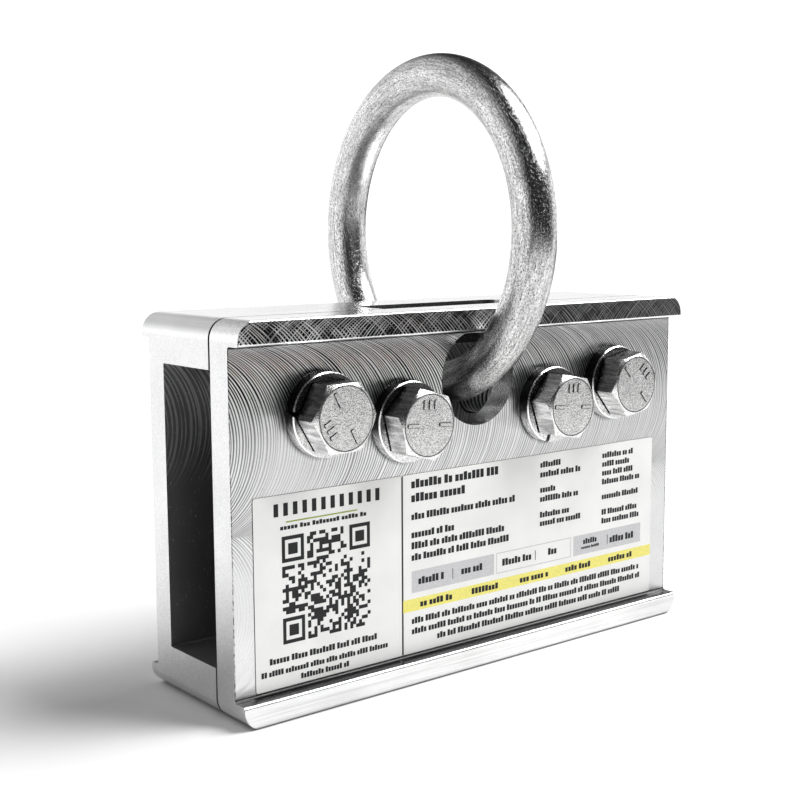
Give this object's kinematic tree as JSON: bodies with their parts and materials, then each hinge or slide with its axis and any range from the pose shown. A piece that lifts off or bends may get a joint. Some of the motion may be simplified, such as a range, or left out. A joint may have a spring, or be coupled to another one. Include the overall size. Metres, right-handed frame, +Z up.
{
  "type": "standing seam roof anchor",
  "caption": "Two-jaw steel clamp for standing seam roofs, closed by hex bolts with split washers, with a loose steel ring through both jaws.",
  "frame": {"origin": "centre of the object's box on its underside, below the ring's centre", "axes": "+X along the jaws to the right seen from the front, +Y from the front jaw to the back jaw, +Z up"},
  "size_m": [0.178, 0.1084, 0.1881],
  "materials": {
    "milled_zinc": "face-milled steel, bright zinc plated",
    "galvanised_ring": "drawn bar, galvanised, slightly grainy",
    "zinc_bolt": "forged, bright zinc plated",
    "zinc_washer": "spring steel, bright zinc plated",
    "label": "printed off-white vinyl, satin"
  },
  "bodies": {
    "back_jaw": {"back_jaw": "milled_zinc"},
    "front_jaw": {"front_jaw": "milled_zinc", "lock_washer_outer_left": "zinc_washer", "lock_washer_inner_left": "zinc_washer", "lock_washer_inner_right": "zinc_washer", "lock_washer_outer_right": "zinc_washer", "label_left": "label", "label_right": "label"},
    "ring": {"ring": "galvanised_ring"},
    "bolt_outer_left": {"bolt_outer_left": "zinc_bolt"},
    "bolt_inner_left": {"bolt_inner_left": "zinc_bolt"},
    "bolt_inner_right": {"bolt_inner_right": "zinc_bolt"},
    "bolt_outer_right": {"bolt_outer_right": "zinc_bolt"}
  },
  "joints": [
    {"name": "jaw_opening", "type": "slide", "parent": "back_jaw", "child": "front_jaw", "axis": [0, -1, 0], "range_m": [0, 0.00293]},
    {"name": "ring_swing", "type": "hinge", "parent": "front_jaw", "child": "ring", "pos_m": [0, 0, 0.0895], "axis": [0, 1, 0], "range_deg": [-65, 65]},
    {"name": "bolt_turn_outer_left", "type": "hinge", "parent": "front_jaw", "child": "bolt_outer_left", "pos_m": [-0.059, -0.0124, 0.0837], "axis": [0, -1, 0], "range_deg": [0, 541]},
    {"name": "bolt_turn_inner_left", "type": "hinge", "parent": "front_jaw", "child": "bolt_inner_left", "pos_m": [-0.0295, -0.0124, 0.0789], "axis": [0, -1, 0], "range_deg": [0, 541]},
    {"name": "bolt_turn_inner_right", "type": "hinge", "parent": "front_jaw", "child": "bolt_inner_right", "pos_m": [0.0295, -0.0124, 0.0789], "axis": [0, -1, 0], "range_deg": [0, 541]},
    {"name": "bolt_turn_outer_right", "type": "hinge", "parent": "front_jaw", "child": "bolt_outer_right", "pos_m": [0.059, -0.0124, 0.0837], "axis": [0, -1, 0], "range_deg": [0, 541]}
  ],
  "couplings": [
    {"joint": "bolt_turn_outer_left", "follows": "jaw_opening", "rad_per_m": 3215.8},
    {"joint": "bolt_turn_inner_left", "follows": "jaw_opening", "rad_per_m": 3215.8},
    {"joint": "bolt_turn_inner_right", "follows": "jaw_opening", "rad_per_m": 3215.8},
    {"joint": "bolt_turn_outer_right", "follows": "jaw_opening", "rad_per_m": 3215.8}
  ]
}
